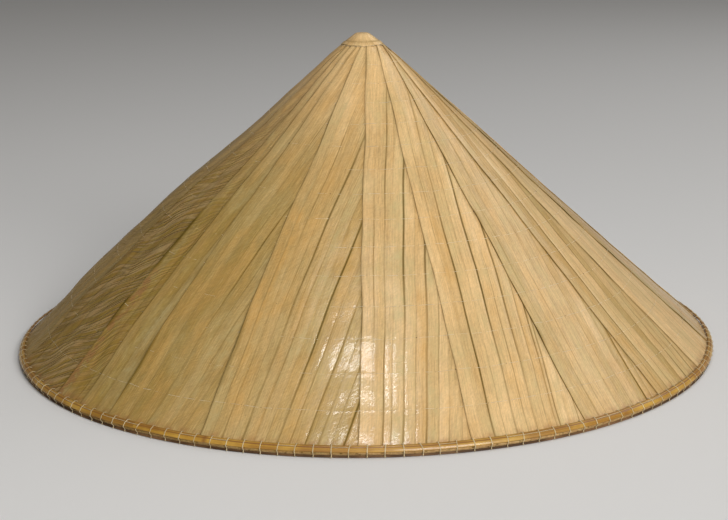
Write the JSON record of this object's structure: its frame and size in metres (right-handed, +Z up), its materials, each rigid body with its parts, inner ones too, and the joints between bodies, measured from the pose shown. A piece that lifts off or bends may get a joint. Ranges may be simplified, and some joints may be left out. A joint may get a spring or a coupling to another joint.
{
  "type": "conical hat",
  "caption": "Conical palm-leaf hat with bamboo hoops, a thread-bound bamboo rim and a ribbon chin strap; keeps sun and rain off the wearer.",
  "frame": {"origin": "centre of the brim, on the plane that the hat rests on", "axes": "+Z up along the cone's axis to the tip; -Y is the front, +X the wearer's side that is on the right when the hat is seen from the front"},
  "size_m": [0.4114, 0.4114, 0.181],
  "materials": {
    "outer_leaf": "gloss",
    "inner_leaf": "satin",
    "bamboo": "satin",
    "rim_bamboo": "gloss",
    "dark_bamboo": "satin",
    "thread": "satin",
    "rim_thread": "satin",
    "cord": "matte",
    "ribbon": "satin"
  },
  "bodies": {
    "hat": {"outer_leaf_01": "outer_leaf", "outer_leaf_02": "outer_leaf", "outer_leaf_03": "outer_leaf", "outer_leaf_04": "outer_leaf", "outer_leaf_05": "outer_leaf", "outer_leaf_06": "outer_leaf", "outer_leaf_07": "outer_leaf", "outer_leaf_08": "outer_leaf", "outer_leaf_09": "outer_leaf", "outer_leaf_10": "outer_leaf", "outer_leaf_11": "outer_leaf", "outer_leaf_12": "outer_leaf", "outer_leaf_13": "outer_leaf", "outer_leaf_14": "outer_leaf", "outer_leaf_15": "outer_leaf", "outer_leaf_16": "outer_leaf", "outer_leaf_17": "outer_leaf", "outer_leaf_18": "outer_leaf", "outer_leaf_19": "outer_leaf", "outer_leaf_20": "outer_leaf", "outer_leaf_21": "outer_leaf", "outer_leaf_22": "outer_leaf", "outer_leaf_23": "outer_leaf", "outer_leaf_24": "outer_leaf", "inner_leaf_01": "inner_leaf", "inner_leaf_02": "inner_leaf", "inner_leaf_03": "inner_leaf", "inner_leaf_04": "inner_leaf", "inner_leaf_05": "inner_leaf", "inner_leaf_06": "inner_leaf", "inner_leaf_07": "inner_leaf", "inner_leaf_08": "inner_leaf", "inner_leaf_09": "inner_leaf", "inner_leaf_10": "inner_leaf", "inner_leaf_11": "inner_leaf", "inner_leaf_12": "inner_leaf", "inner_leaf_13": "inner_leaf", "inner_leaf_14": "inner_leaf", "hoop_01": "bamboo", "hoop_02": "bamboo", "hoop_03": "bamboo", "hoop_04": "bamboo", "hoop_05": "bamboo", "hoop_06": "bamboo", "hoop_07": "bamboo", "hoop_08": "bamboo", "hoop_09": "bamboo", "hoop_10": "bamboo", "hoop_11": "bamboo", "hoop_12": "bamboo", "hoop_13": "bamboo", "hoop_14": "bamboo", "hoop_15": "bamboo", "apex_cap": "outer_leaf", "row_stitches": "thread", "rim_outer_strip": "rim_bamboo", "rim_inner_hoop": "dark_bamboo", "rim_stitches": "rim_thread", "strap_loops": "cord"},
    "chin_strap": {"chin_strap": "ribbon"}
  },
  "joints": [
    {"name": "strap_swing", "type": "hinge", "parent": "hat", "child": "chin_strap", "pos_m": [0, 0, 0.02966], "axis": [-1, 0, 0], "range_deg": [0, 180]}
  ]
}
